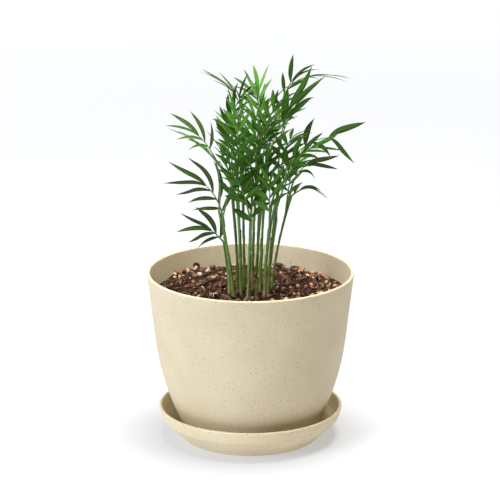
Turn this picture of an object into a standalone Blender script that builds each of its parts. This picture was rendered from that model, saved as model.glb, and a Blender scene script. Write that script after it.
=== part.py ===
"""A young parlour palm: a clump of twelve stems in a tapered fibre pot, standing on its saucer.

Units are metres and +Z is up. The origin is the centre of the saucer's underside, on the
surface that it stands on. Azimuths are in degrees from +X (0) through +Y (90).
"""

import math

import bmesh
import bpy
import numpy as np
from mathutils import Matrix, Vector
from mathutils.bvhtree import BVHTree

MM = 0.001
GAP = 0.3 * MM  # clearance between pieces that rest on or in each other
ROUND_STEPS = 40  # facets round the pot, the saucer and the soil
MERGE = 0.01 * MM

# Saucer: a flat base, a flared bowl, and a band above a small step.
SAUCER_BASE_RADIUS = 65 * MM
SAUCER_STEP_RADIUS = 83.6 * MM
SAUCER_STEP_Z = 18 * MM
SAUCER_BAND_RADIUS = 85.2 * MM
SAUCER_RIM_RADIUS = 89 * MM
SAUCER_HEIGHT = 31 * MM
SAUCER_WALL = 3.2 * MM
SAUCER_FLOOR = 3.5 * MM
SAUCER_BAND_EDGE = 0.8 * MM
# The bowl's inside and outside, as (radius, height) points from the base upwards.
SAUCER_BOWL_INSIDE = [(68.5 * MM, 7.4 * MM), (75.3 * MM, 14 * MM), (82 * MM, 19 * MM)]
SAUCER_BOWL_OUTSIDE = [(67.3 * MM, 1.4 * MM), (71.5 * MM, 5.5 * MM), (77.6 * MM, 11.5 * MM)]

# Pot: a straight taper that tucks in below the knee.
POT_BASE_Z = SAUCER_FLOOR + GAP
POT_RIM_Z = 165 * MM
POT_RIM_RADIUS = 100 * MM
POT_TAPER = 0.115
POT_KNEE_Z = 105 * MM
POT_TUCK = 19.7 * MM
POT_TUCK_POWER = 2.2
POT_WALL = 3 * MM
POT_FLOOR = 3.5 * MM
POT_FOOT_ROUNDING = 2 * MM
DRAIN_RADIUS = 4 * MM
DRAIN_CIRCLE = 34 * MM
DRAIN_COUNT = 5

# Soil: slightly mounded round the clump.
SOIL_EDGE_Z = 143 * MM
SOIL_CENTRE_Z = 147 * MM

# Stems: planted upright, then leaning out of the clump.
BURIED = 14 * MM
STEM_THINNING = 0.5  # a stem's radius at its top, as a share of its foot's
STEM_LEAN_POWER = 1.4
STEM_POINTS = 7

# Fronds: a petiole, a rachis and its pairs of leaflets, cut as one thin sheet.
LEAF_THICKNESS = 0.8 * MM
RACHIS_HALF = 0.8 * MM
LEAFLET_BASE_HALF = 0.9 * MM
LEAFLET_WIDEST = 0.42  # share of the leaflet's length
LEAFLET_DROOP = 0.10  # how far a tip falls back, as a share of its length
LEAFLET_STAGGER = 0.3  # how far one side's leaflets lag the other's, in pitches
LEAFLET_CLEARANCE = 0.8  # a leaflet's width, as a share of the room beside it
LOWEST_LENGTH = 0.72  # the lowest leaflets' length, as a share of the last ones'
BEND_POWER = 1.6
BEND_STEPS = 96  # steps along a midline, for twice its reach
LEAFLET_REACH = 0.33  # how much of a leaflet's length the midline's bend takes in
VEE = 0.28  # rise of the leaflets from the rachis, as a slope
ARCH = 9.0  # fall of the leaflets towards their tips, per metre
LEAF_SHARP_ANGLE = 40.0  # folds steeper than this stay crisp, in degrees

# Each stem: foot x and y, top x, y and z, and radius at the foot, in millimetres.
STEMS = [
    (-20, -12, -26, -14, 222, 1.5),
    (-16, -22, -30, -26, 232, 1.9),
    (-12, -4, -17, 2, 250, 1.5),
    (-9, -17, -12, -20, 262, 1.9),
    (-6, 3, -8, 12, 270, 1.5),
    (-2, -24, 1, -30, 240, 1.9),
    (1, -10, 7, -10, 285, 1.8),
    (5, -19, 11, -22, 262, 1.6),
    (9, -8, 16, -4, 280, 1.8),
    (13, -22, 20, -28, 240, 1.8),
    (17, -13, 27, -15, 262, 1.8),
    (20, -4, 38, -4, 244, 1.2),
]

# Each frond: stem number, height where it leaves the stem (0 is the stem's top), azimuth,
# rise above level, bend over its length, petiole, rachis, pairs, leaflet length and width,
# roll, and the angles of the lowest and last leaflets off the midline. Lengths are in
# millimetres and angles in degrees.
FRONDS = [
    (11, 219, 358, 92, 104, 82, 24, 2, 41, 6.2, 76, 50, 34),
    (1, 198, 182, 50, 40, 5, 11, 3, 38, 4.8, 76, 50, 14),
    (1, 0, 180, 75, 62, 6, 30, 4, 46, 4.8, 72, 52, 13),
    (2, 0, 180, 96, 70, 62, 16, 3, 38, 4.2, 40, 50, 12),
    (11, 0, 0, 92, 40, 52, 14, 2, 53, 9.0, 74, 21, 8),
    (12, 0, 5, 78, 80, 17, 12, 2, 38, 6.2, 66, 50, 12),
    (12, 241, 350, 42, 70, 4, 12, 3, 28, 4.2, 22, 50, 16),
    (9, 0, 2, 80, 24, 50, 25, 3, 32, 4.6, 50, 50, 30),
    (5, 0, 180, 100, 62, 54, 16, 3, 42, 4.2, 12, 30, 7),
    (3, 0, 0, 102, 46, 48, 38, 5, 30, 4.8, 62, 46, 16),
    (10, 0, 356, 73, 62, 38, 30, 4, 33, 5.8, 64, 46, 18),
    (11, 252, 35, 97, 80, 56, 20, 2, 46, 6.0, 60, 36, 12),
    (9, 258, 150, 112, 70, 70, 14, 3, 36, 4.0, 10, 34, 10),
    (7, 272, 2, 92, 100, 90, 12, 2, 52, 4.0, 25, 40, 22),
    (4, 0, 95, 88, 30, 28, 34, 5, 30, 5.0, 20, 48, 16),
    (7, 0, 80, 88, 30, 27, 32, 4, 30, 4.6, 15, 50, 16),
    (6, 0, 262, 84, 50, 30, 40, 5, 34, 5.2, 10, 50, 18),
    (8, 0, 300, 86, 40, 32, 44, 5, 34, 5.2, 10, 50, 18),
    (3, 232, 235, 84, 40, 24, 34, 5, 28, 4.6, 20, 50, 16),
    (9, 256, 60, 76, 45, 24, 40, 5, 34, 4.8, 10, 50, 18),
    (5, 244, 110, 76, 45, 24, 36, 5, 32, 4.8, 10, 50, 18),
    (4, 226, 262, 84, 28, 16, 34, 4, 36, 7.0, 0, 46, 16),
    (10, 228, 330, 78, 42, 22, 34, 5, 30, 5.4, 20, 50, 18),
    (6, 208, 285, 82, 28, 16, 34, 4, 36, 7.0, 0, 46, 16),
    (8, 230, 300, 84, 28, 16, 36, 4, 36, 6.6, 10, 46, 16),
    (7, 250, 90, 78, 40, 26, 42, 5, 34, 4.8, 0, 50, 18),
    (7, 264, 330, 80, 45, 30, 40, 5, 34, 5.0, 30, 50, 18),
    (11, 232, 40, 68, 55, 26, 38, 5, 34, 5.0, 30, 50, 18),
    (4, 246, 130, 76, 45, 26, 38, 5, 32, 4.8, 10, 50, 18),
    (2, 224, 330, 84, 35, 30, 30, 4, 28, 4.8, 10, 50, 18),
    (6, 226, 225, 82, 32, 20, 36, 4, 34, 6.2, 10, 46, 16),
    (10, 216, 262, 84, 30, 18, 34, 4, 36, 6.6, 0, 46, 16),
    (5, 256, 20, 78, 45, 26, 38, 5, 34, 4.8, 20, 50, 18),
    (9, 268, 235, 84, 30, 26, 34, 4, 32, 4.8, 20, 46, 16),
    (3, 240, 100, 78, 50, 26, 34, 5, 30, 4.6, 0, 50, 18),
    (12, 222, 70, 74, 50, 20, 28, 4, 28, 4.6, 10, 50, 18),
    (8, 248, 170, 84, 30, 30, 30, 3, 30, 4.4, 40, 40, 14),
    (11, 250, 300, 74, 50, 24, 36, 5, 34, 5.2, 10, 50, 18),
]

# How a frond makes way for those placed before it: turns that spiral out from its own pose.
GOLDEN_ANGLE = math.radians(137.508)
MOST_TURNS = 2000
TURN_STEP = 1.5  # degrees, times the square root of the try
RISE_SHARE = 0.6
ROLL_SHARE = 0.9


def clear_scene():
    for existing in list(bpy.data.objects):
        bpy.data.objects.remove(existing, do_unlink=True)


def new_collection(name):
    collection = bpy.data.collections.new(name)
    bpy.context.scene.collection.children.link(collection)
    return collection


def new_material(name, colour, roughness):
    material = bpy.data.materials.new(name)
    material.use_nodes = True
    shader = material.node_tree.nodes["Principled BSDF"]
    shader.inputs["Base Color"].default_value = (*colour, 1.0)
    shader.inputs["Roughness"].default_value = roughness
    shader.inputs["Metallic"].default_value = 0.0
    return material


# ---------------------------------------------------------------- turned pieces


def arc(centre_r, centre_z, radius, start, end, count):
    """Points on a circle in the (radius, height) plane, between two angles in degrees."""
    angles = np.radians(np.linspace(start, end, count))
    return [
        (centre_r + radius * math.cos(angle), centre_z + radius * math.sin(angle))
        for angle in angles
    ]


def turned(name, profile, material, collection):
    """A profile that starts and ends on the axis and runs down its outer side, turned about Z."""
    mesh = bpy.data.meshes.new(name)
    corners = [(radius, 0.0, z) for radius, z in profile]
    edges = [(i, i + 1) for i in range(len(corners) - 1)]
    mesh.from_pydata(corners, edges, [])
    mesh.materials.append(material)
    piece = bpy.data.objects.new(name, mesh)
    collection.objects.link(piece)
    screw = piece.modifiers.new("turn", "SCREW")
    screw.axis = "Z"
    screw.angle = 2 * math.pi
    screw.steps = ROUND_STEPS
    screw.render_steps = ROUND_STEPS
    screw.use_merge_vertices = True
    screw.merge_threshold = MERGE
    screw.use_smooth_shade = True
    return piece


def cut(piece, cutter):
    difference = piece.modifiers.new("cut_" + cutter.name, "BOOLEAN")
    difference.operation = "DIFFERENCE"
    difference.solver = "EXACT"
    difference.object = cutter


def cylinder_cutter(name, places, radius, low, high, sides, collection):
    """One cutter of upright cylinders, at (x, y) places, from one height to another."""
    shapes = bmesh.new()
    for x, y in places:
        bmesh.ops.create_cone(
            shapes,
            cap_ends=True,
            segments=sides,
            radius1=radius,
            radius2=radius,
            depth=high - low,
            matrix=Matrix.Translation((x, y, (low + high) / 2)),
        )
    mesh = bpy.data.meshes.new(name)
    shapes.to_mesh(mesh)
    shapes.free()
    cutter = bpy.data.objects.new(name, mesh)
    cutter.hide_render = True
    cutter.display_type = "WIRE"
    collection.objects.link(cutter)
    return cutter


def pot_radius(z):
    """Outer radius of the pot's side at a height."""
    below_knee = max(0.0, POT_KNEE_Z - z) / (POT_KNEE_Z - POT_BASE_Z)
    taper = POT_TAPER * (POT_RIM_Z - z)
    return POT_RIM_RADIUS - taper - POT_TUCK * below_knee**POT_TUCK_POWER


def pot_bore(z):
    """Inner radius of the pot's side at a height."""
    return pot_radius(z) - POT_WALL


def build_pot(material, collection, cutters):
    floor_z = POT_BASE_Z + POT_FLOOR
    lip = POT_WALL / 2
    lip_z = POT_RIM_Z - lip
    inside = [(pot_bore(z), z) for z in np.linspace(floor_z, lip_z, 8)]
    rim = arc(pot_radius(lip_z) - lip, lip_z, lip, 135, 0, 4)
    foot_z = POT_BASE_Z + POT_FOOT_ROUNDING
    outside = [(pot_radius(z), z) for z in np.linspace(lip_z, foot_z, 10)[1:]]
    base = [(pot_radius(foot_z) - POT_FOOT_ROUNDING, POT_BASE_Z), (0.0, POT_BASE_Z)]
    profile = [(0.0, floor_z), *inside, *rim, *outside, *base]
    pot = turned("pot", profile, material, collection)
    places = [
        (DRAIN_CIRCLE * math.cos(turn), DRAIN_CIRCLE * math.sin(turn))
        for turn in np.arange(DRAIN_COUNT) * 2 * math.pi / DRAIN_COUNT
    ]
    low, high = POT_BASE_Z - POT_FLOOR, floor_z + POT_FLOOR
    cut(pot, cylinder_cutter("drain_holes", places, DRAIN_RADIUS, low, high, 12, cutters))


def build_saucer(material, collection):
    lip = SAUCER_WALL / 2
    lip_z = SAUCER_HEIGHT - lip
    inside = [
        (0.0, SAUCER_FLOOR),
        (SAUCER_BASE_RADIUS - SAUCER_WALL, SAUCER_FLOOR),
        *SAUCER_BOWL_INSIDE,
        (SAUCER_RIM_RADIUS - SAUCER_WALL, lip_z),
    ]
    rim = arc(SAUCER_RIM_RADIUS - lip, lip_z, lip, 135, 0, 4)
    outside = [
        (SAUCER_BAND_RADIUS, SAUCER_STEP_Z + SAUCER_BAND_EDGE),
        (SAUCER_STEP_RADIUS, SAUCER_STEP_Z),
        *SAUCER_BOWL_OUTSIDE[::-1],
        (SAUCER_BASE_RADIUS, 0.0),
        (0.0, 0.0),
    ]
    turned("saucer", [*inside, *rim, *outside], material, collection)


def soil_top(radius):
    """Height of the soil's surface at a distance from the pot's axis."""
    share = radius / pot_bore(SOIL_EDGE_Z)
    return SOIL_EDGE_Z + (SOIL_CENTRE_Z - SOIL_EDGE_Z) * (1 - share**2)


def build_soil(material, collection, cutters):
    edge = pot_bore(SOIL_EDGE_Z) - GAP
    floor_z = POT_BASE_Z + POT_FLOOR + GAP
    top = [(radius, soil_top(radius)) for radius in np.linspace(0.0, edge, 5)]
    side = [(pot_bore(z) - GAP, z) for z in np.linspace(SOIL_EDGE_Z, floor_z, 8)[1:]]
    soil = turned("soil", [*top, *side, (0.0, floor_z)], material, collection)
    feet = [(x * MM, y * MM) for x, y, *_ in STEMS]
    radius = max(stem[5] for stem in STEMS) * MM + GAP
    low, high = SOIL_EDGE_Z - BURIED - GAP, SOIL_CENTRE_Z + BURIED
    cut(soil, cylinder_cutter("stem_sockets", feet, radius, low, high, 8, cutters))


# ---------------------------------------------------------------- stems


def stem_point(stem, z):
    """The stem's axis at a height: upright in the soil, then leaning towards its top."""
    foot_x, foot_y, top_x, top_y, top_z, _ = stem
    share = max(0.0, z - SOIL_EDGE_Z) / (top_z * MM - SOIL_EDGE_Z)
    lean = share**STEM_LEAN_POWER
    x = foot_x + (top_x - foot_x) * lean
    y = foot_y + (top_y - foot_y) * lean
    return Vector((x * MM, y * MM, z))


def stem_radius(stem, z):
    share = max(0.0, z - SOIL_EDGE_Z) / (stem[4] * MM - SOIL_EDGE_Z)
    return stem[5] * MM * (1 - (1 - STEM_THINNING) * math.sqrt(share))


def build_stem(number, stem, material, collection):
    """A tapered tube along the stem's axis, with its origin where it leaves the soil."""
    name = f"stem_{number:02d}"
    heights = [SOIL_EDGE_Z - BURIED, *np.linspace(SOIL_EDGE_Z, stem[4] * MM, STEM_POINTS)]
    origin = stem_point(stem, SOIL_EDGE_Z)
    curve = bpy.data.curves.new(name, "CURVE")
    curve.dimensions = "3D"
    curve.bevel_depth = stem[5] * MM
    curve.bevel_resolution = 2
    curve.use_fill_caps = True
    axis = curve.splines.new("POLY")
    axis.points.add(len(heights) - 1)
    for point, z in zip(axis.points, heights):
        point.co = (*(stem_point(stem, z) - origin), 1.0)
        point.radius = stem_radius(stem, z) / curve.bevel_depth
    curve.materials.append(material)
    piece = bpy.data.objects.new(name, curve)
    piece.location = origin
    collection.objects.link(piece)


# ---------------------------------------------------------------- fronds


def leaflet_outline(side, base, angle, length, width):
    """Five corners of one leaflet in the flat frond, from its lower base corner to its upper."""
    along = np.array([side * math.sin(angle), math.cos(angle)])
    forward = np.array([-side * math.cos(angle), math.sin(angle)])
    root = np.array([side * RACHIS_HALF, base])
    middle = root + along * length * LEAFLET_WIDEST
    tip = root + along * length - np.array([0.0, LEAFLET_DROOP * length])
    return [
        root - np.array([0.0, LEAFLET_BASE_HALF]),
        middle - forward * width / 2,
        tip,
        middle + forward * width / 2,
        root + np.array([0.0, LEAFLET_BASE_HALF]),
    ]


def frond_outline(petiole, rachis, pairs, leaflet, widest, lowest, last):
    """The flat frond's outline: x across, y along from the petiole's base."""
    pitch = rachis / (pairs - 1)
    fan = math.radians((lowest - last) / (pairs - 1))
    sides = {}
    for side in (1, -1):
        corners = [(side * RACHIS_HALF, 0.0), (side * RACHIS_HALF, petiole / 2)]
        for k in range(pairs):
            share = k / (pairs - 1)
            angle = math.radians(lowest + (last - lowest) * share)
            length = leaflet * (LOWEST_LENGTH + (1 - LOWEST_LENGTH) * share)
            room = pitch * math.sin(angle) + LEAFLET_WIDEST * length * fan
            width = min(widest, LEAFLET_CLEARANCE * room)
            stagger = LEAFLET_STAGGER * pitch if side < 0 and k < pairs - 1 else 0.0
            base = petiole + pitch * k + stagger
            corners.extend(leaflet_outline(side, base, angle, length, width))
        sides[side] = [tuple(corner) for corner in corners]
    return sides[1] + sides[-1][::-1]


def bent(flat, start, azimuth, rise, bend, reach, roll):
    """Flat points (x across, y along, z up) carried onto the frond's curved sheet.

    The midline starts at `start` and climbs at `rise`, losing `bend` over its reach, and runs
    straight on from there. The leaflets lift off it in a shallow V and arch over towards
    their tips.
    """
    steps = np.linspace(0.0, 2 * reach, BEND_STEPS)
    slope = np.radians(rise - bend * np.minimum(steps / reach, 1.0) ** BEND_POWER)
    pace = steps[1]
    outward = np.concatenate([[0.0], np.cumsum(np.cos(slope[:-1])) * pace])
    upward = np.concatenate([[0.0], np.cumsum(np.sin(slope[:-1])) * pace])
    x, along, z = flat.T
    out = np.interp(along, steps, outward)[:, None]
    up = np.interp(along, steps, upward)[:, None]
    tilt = np.interp(along, steps, slope)[:, None]
    heading = np.array([math.cos(math.radians(azimuth)), math.sin(math.radians(azimuth)), 0.0])
    level = np.array([heading[1], -heading[0], 0.0])
    top = np.array([0.0, 0.0, 1.0])
    normal = top * np.cos(tilt) - heading * np.sin(tilt)
    turn = math.radians(roll)
    across = level * math.cos(turn) + normal * math.sin(turn)
    upper = normal * math.cos(turn) - level * math.sin(turn)
    lift = z + VEE * np.abs(x) - ARCH * x**2
    return np.array(start) + heading * out + top * up + across * x[:, None] + upper * lift[:, None]


def frond_start(stem, height, azimuth):
    """Where the petiole begins: just off the stem's side, or just above its top."""
    if height == 0:
        return stem_point(stem, stem[4] * MM) + Vector((0.0, 0.0, 2 * GAP))
    z = height * MM
    heading = Vector((math.cos(math.radians(azimuth)), math.sin(math.radians(azimuth)), 0.0))
    return stem_point(stem, z) + heading * (stem_radius(stem, z) + 2 * GAP + RACHIS_HALF)


def flat_frond(name, outline):
    """A plate of the outline's shape, made from a filled 2D curve, as a welded mesh."""
    curve = bpy.data.curves.new(name, "CURVE")
    curve.dimensions = "2D"
    curve.fill_mode = "BOTH"
    curve.extrude = LEAF_THICKNESS / 2
    edge = curve.splines.new("POLY")
    edge.points.add(len(outline) - 1)
    for point, (x, y) in zip(edge.points, outline):
        point.co = (x, y, 0.0, 1.0)
    edge.use_cyclic_u = True
    guide = bpy.data.objects.new(name + "_outline", curve)
    bpy.context.scene.collection.objects.link(guide)
    evaluated = guide.evaluated_get(bpy.context.evaluated_depsgraph_get())
    mesh = bpy.data.meshes.new_from_object(evaluated)
    bpy.data.objects.remove(guide)
    plate = bmesh.new()
    plate.from_mesh(mesh)
    bmesh.ops.remove_doubles(plate, verts=plate.verts, dist=MERGE)
    bmesh.ops.triangulate(plate, faces=plate.faces)
    bmesh.ops.recalc_face_normals(plate, faces=plate.faces)
    plate.to_mesh(mesh)
    plate.free()
    mesh.name = name
    return mesh


def frond_poses(azimuth, rise, roll):
    """The frond's own pose first, then turns that spiral away from it."""
    for attempt in range(MOST_TURNS):
        amount = TURN_STEP * math.sqrt(attempt)
        direction = attempt * GOLDEN_ANGLE
        yield (
            azimuth + amount * math.cos(direction),
            rise + RISE_SHARE * amount * math.sin(direction),
            roll + ROLL_SHARE * amount * math.sin(2 * direction),
        )


def build_frond(number, frond, material, collection, neighbours):
    """A frond in the first pose that touches none of the pieces already there."""
    stem_number, height, azimuth, rise, bend, petiole, rachis = frond[:7]
    pairs, leaflet, width, roll, lowest, last = frond[7:]
    name = f"frond_{number:02d}"
    stem = STEMS[stem_number - 1]
    sizes = (petiole * MM, rachis * MM, pairs, leaflet * MM, width * MM)
    outline = frond_outline(*sizes, lowest, last)
    mesh = flat_frond(name, outline)
    flat = np.array([vertex.co for vertex in mesh.vertices])
    faces = [tuple(face.vertices) for face in mesh.polygons]
    reach = (petiole + rachis + LEAFLET_REACH * leaflet) * MM
    for turned_to, climb, rolled in frond_poses(azimuth, rise, roll):
        start = frond_start(stem, height, turned_to)
        points = bent(flat, start, turned_to, climb, bend, reach, rolled)
        tree = BVHTree.FromPolygons(points.tolist(), faces)
        if not any(tree.overlap(other) for other in neighbours):
            break
    else:
        raise ValueError(f"{name} has no clear pose")
    neighbours.append(tree)
    for vertex, point in zip(mesh.vertices, points):
        vertex.co = Vector(point) - start
    mesh.materials.append(material)
    mesh.shade_smooth()
    mesh.set_sharp_from_angle(angle=math.radians(LEAF_SHARP_ANGLE))
    piece = bpy.data.objects.new(name, mesh)
    piece.location = start
    collection.objects.link(piece)


def surface_trees(collection):
    """A search tree of every piece built so far, in world space."""
    bpy.context.view_layer.update()
    depsgraph = bpy.context.evaluated_depsgraph_get()
    trees = []
    for piece in collection.objects:
        mesh = piece.evaluated_get(depsgraph).to_mesh()
        points = [piece.matrix_world @ vertex.co for vertex in mesh.vertices]
        faces = [tuple(face.vertices) for face in mesh.polygons]
        trees.append(BVHTree.FromPolygons(points, faces))
    return trees


def main():
    clear_scene()
    parts = new_collection("potted_palm")
    cutters = new_collection("potted_palm_cutters")
    fibre = new_material("pot_fibre", (0.73, 0.66, 0.49), 0.6)
    saucer_fibre = new_material("saucer_fibre", (0.71, 0.63, 0.45), 0.6)
    peat = new_material("peat", (0.06, 0.028, 0.018), 0.95)
    stem_green = new_material("stem_green", (0.13, 0.26, 0.05), 0.5)
    leaf_green = new_material("leaf_green", (0.06, 0.19, 0.03), 0.45)

    build_saucer(saucer_fibre, parts)
    build_pot(fibre, parts, cutters)
    build_soil(peat, parts, cutters)
    for number, stem in enumerate(STEMS, start=1):
        build_stem(number, stem, stem_green, parts)
    neighbours = surface_trees(parts)
    for number, frond in enumerate(FRONDS, start=1):
        build_frond(number, frond, leaf_green, parts, neighbours)


main()
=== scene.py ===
# %% [markdown]
# # A young parlour palm in a fibre pot
#
# This lesson dresses a potted palm: a pot and a saucer of moulded plant fibre, a bed of bark and
# peat, twelve stems in papery sheaths, and thirty-eight fronds of slender leaflets.
#
# The frame gives every piece its place and size in metres, with +Z up and the origin under the
# middle of the saucer. Each piece below is a finer version of one plain piece of the frame. It
# keeps that piece's place and size, rides on the same body, and stands in for it.

# %% Load the frame
import math
from collections import namedtuple

import bpy
import numpy as np
from mathutils import Matrix, Vector, noise


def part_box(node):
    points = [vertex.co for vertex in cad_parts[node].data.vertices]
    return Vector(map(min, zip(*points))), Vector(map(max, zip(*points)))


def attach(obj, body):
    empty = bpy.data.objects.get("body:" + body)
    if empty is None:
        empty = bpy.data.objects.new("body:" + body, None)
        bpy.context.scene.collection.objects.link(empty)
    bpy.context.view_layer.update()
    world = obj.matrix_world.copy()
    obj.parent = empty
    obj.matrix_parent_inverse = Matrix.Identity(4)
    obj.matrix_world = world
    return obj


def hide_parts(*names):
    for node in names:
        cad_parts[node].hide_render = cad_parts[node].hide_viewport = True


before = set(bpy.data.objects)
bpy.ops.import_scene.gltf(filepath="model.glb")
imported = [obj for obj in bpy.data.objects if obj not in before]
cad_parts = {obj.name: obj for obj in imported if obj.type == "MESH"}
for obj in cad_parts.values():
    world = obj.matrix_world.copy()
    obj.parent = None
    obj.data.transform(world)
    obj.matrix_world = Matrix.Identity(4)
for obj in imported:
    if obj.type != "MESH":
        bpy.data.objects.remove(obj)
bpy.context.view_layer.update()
MM = 0.001
BODY = "root"
print("frame pieces:", len(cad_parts))

# %% [markdown]
# ## The camera and the studio
#
# A plant on its saucer is looked at from a little above, from far away with a long lens, so that
# the pot's rim is a shallow ellipse and its sides hardly converge. The camera looks along +Y.
#
# One large soft light high on the left models the round pot: its left is bright, its right falls
# into a warm shade, and inside the rim it is the other way about. A second soft light overhead
# reaches down inside the pot. The room is pale on the left and darker and warmer on the right,
# which deepens the shade, and the pale floor gives off more light the further it is from the
# plant, so it stays clean without lighting the pot from below. A hard lamp would be simpler, but
# it would print the shadow of every leaflet.

# %% Camera
LENS = 200.0
SENSOR = 36.0
VIEW_HALF_WIDTH = 240 * MM
VIEW_ELEVATION = math.radians(16.3)
VIEW_TARGET = Vector((-0.5 * MM, 0.0, 186 * MM))
distance = VIEW_HALF_WIDTH * LENS / (SENSOR / 2)
camera_data = bpy.data.cameras.new("studio_camera")
camera_data.lens = LENS
camera_data.sensor_width = SENSOR
camera = bpy.data.objects.new("studio_camera", camera_data)
bpy.context.scene.collection.objects.link(camera)
toward_camera = Vector((0.0, -math.cos(VIEW_ELEVATION), math.sin(VIEW_ELEVATION)))
camera.location = VIEW_TARGET + toward_camera * distance
camera.rotation_euler = (math.pi / 2 - VIEW_ELEVATION, 0.0, 0.0)
bpy.context.scene.camera = camera
print("camera distance in m:", round(distance, 2))

# %% Lights
PLANT_MIDDLE = Vector((0.0, 0.0, 0.15))


def soft_light(name, place, size, power, colour):
    """A square lamp that faces the plant."""
    data = bpy.data.lights.new(name, "AREA")
    data.size = size
    data.energy = power
    data.color = colour
    lamp = bpy.data.objects.new(name, data)
    lamp.location = place
    aim = PLANT_MIDDLE - Vector(place)
    lamp.rotation_euler = aim.to_track_quat("-Z", "Y").to_euler()
    bpy.context.scene.collection.objects.link(lamp)


soft_light("key_light", place=(-2.0, -1.65, 1.65), size=1.1, power=47.0, colour=(0.93, 1.0, 1.17))
soft_light("top_light", place=(0.1, 0.0, 1.35), size=0.7, power=31.0, colour=(1.0, 0.99, 0.96))
print("lights:", [light.name for light in bpy.data.lights])

# %% The room
ROOM_LEFT = (0.62, 0.65, 0.68, 1.0)
ROOM_RIGHT = (0.05, 0.028, 0.01, 1.0)
ROOM_LEFT_EDGE = -0.8
ROOM_RIGHT_EDGE = 0.6
world = bpy.data.worlds.new("studio_world")
world.use_nodes = True
sky = world.node_tree
outward = sky.nodes.new("ShaderNodeTexCoord").outputs["Generated"]
sideways = sky.nodes.new("ShaderNodeSeparateXYZ")
sky.links.new(outward, sideways.inputs[0])
across_room = sky.nodes.new("ShaderNodeMapRange")
sky.links.new(sideways.outputs["X"], across_room.inputs["Value"])
across_room.inputs["From Min"].default_value = ROOM_LEFT_EDGE
across_room.inputs["From Max"].default_value = ROOM_RIGHT_EDGE
room = sky.nodes.new("ShaderNodeValToRGB")
sky.links.new(across_room.outputs[0], room.inputs["Fac"])
room.color_ramp.elements[0].color = ROOM_LEFT
room.color_ramp.elements[1].color = ROOM_RIGHT
sky.links.new(room.outputs["Color"], sky.nodes["Background"].inputs["Color"])
bpy.context.scene.world = world
bpy.context.scene.view_settings.view_transform = "Standard"
print("room colour:", ROOM_LEFT[:3], "on the left,", ROOM_RIGHT[:3], "on the right")

# %% Floor
FLOOR_HALF = 14.0
FLOOR_DROP = 0.2 * MM
FLOOR_FILL = {"From Min": 0.2, "From Max": 2.2, "To Min": 0.42, "To Max": 0.86}
corners = [(-1, -1), (1, -1), (1, 1), (-1, 1)]
floor_points = [(x * FLOOR_HALF, y * FLOOR_HALF, -FLOOR_DROP) for x, y in corners]
floor_mesh = bpy.data.meshes.new("studio_floor")
floor_mesh.from_pydata(floor_points, [], [(0, 1, 2, 3)])
floor = bpy.data.objects.new("studio_floor", floor_mesh)
bpy.context.scene.collection.objects.link(floor)
floor_paint = bpy.data.materials.new("floor_paint")
floor_paint.use_nodes = True
paint = floor_paint.node_tree
floor_shader = paint.nodes["Principled BSDF"]
floor_shader.inputs["Base Color"].default_value = (0.35, 0.35, 0.36, 1.0)
floor_shader.inputs["Roughness"].default_value = 0.9
floor_shader.inputs["Emission Color"].default_value = (0.98, 0.99, 1.0, 1.0)
floor_place = paint.nodes.new("ShaderNodeTexCoord").outputs["Object"]
from_plant = paint.nodes.new("ShaderNodeVectorMath")
from_plant.operation = "LENGTH"
paint.links.new(floor_place, from_plant.inputs[0])
fill = paint.nodes.new("ShaderNodeMapRange")
paint.links.new(from_plant.outputs["Value"], fill.inputs["Value"])
for setting, value in FLOOR_FILL.items():
    fill.inputs[setting].default_value = value
paint.links.new(fill.outputs[0], floor_shader.inputs["Emission Strength"])
floor_mesh.materials.append(floor_paint)
print("floor half width in m:", FLOOR_HALF)

# %% [markdown]
# ## Making meshes and finishes
#
# Nearly every shape here is a tube of rings: the pot, the saucer and the soil are wide tubes
# round the Z axis, a stem is a thin one, and a leaflet is a flattened one that closes to a point.
# So one helper joins rings into a closed tube, and a batch gathers many closed shapes into one
# piece, with three marks on each point that the finishes can read: a tint, a place along the
# shape, and a place across it. Bevelled curves could make the thin tubes, but they would have to
# be turned into meshes before they could carry these marks.
#
# A finish is a material built from nodes. A small class keeps the calls short.

# %% Rings, batches and pieces
def tube(rings):
    """Points and faces of a closed tube through rings of equal count, capped at both ends."""
    count, sides = rings.shape[:2]
    around = np.arange(sides)
    following = (around + 1) % sides
    faces = []
    for level in range(count - 1):
        low, high = level * sides, (level + 1) * sides
        quads = np.stack([low + around, low + following, high + following, high + around], 1)
        faces.extend(quads.tolist())
    faces.append(list(range(sides))[::-1])
    faces.append(list(range((count - 1) * sides, count * sides)))
    return rings.reshape(-1, 3), faces


class Batch:
    """Closed shapes gathered into one piece."""

    def __init__(self):
        self.points = []
        self.faces = []
        self.finishes = []
        self.marks = []
        self.size = 0

    def add(self, points, faces, finish=0, tint=0.5, along=0.0, across=0.0):
        """Adds a shape; a mark is one number, or one for each point."""
        count = len(points)
        self.faces.extend([[index + self.size for index in face] for face in faces])
        self.finishes.extend([finish] * len(faces))
        self.points.append(np.asarray(points, float))
        marks = [np.broadcast_to(mark, (count,)) for mark in (tint, along, across)]
        self.marks.append(np.stack(marks, 1))
        self.size += count

    def piece(self, name, materials, replaced=(), sharp=60.0):
        """Makes the object, rides it on the body and hides the frame pieces it stands for."""
        mesh = bpy.data.meshes.new(name)
        mesh.from_pydata(np.concatenate(self.points).tolist(), [], self.faces)
        for material in materials:
            mesh.materials.append(material)
        mesh.polygons.foreach_set("material_index", self.finishes)
        marks = mesh.attributes.new("marks", "FLOAT_VECTOR", "POINT")
        marks.data.foreach_set("vector", np.concatenate(self.marks).astype(np.float32).ravel())
        mesh.shade_smooth()
        mesh.set_sharp_from_angle(angle=math.radians(sharp))
        made = bpy.data.objects.new(name, mesh)
        bpy.context.scene.collection.objects.link(made)
        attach(made, BODY)
        if replaced:
            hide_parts(*replaced)
        return made


print("mesh helpers ready")

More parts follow.
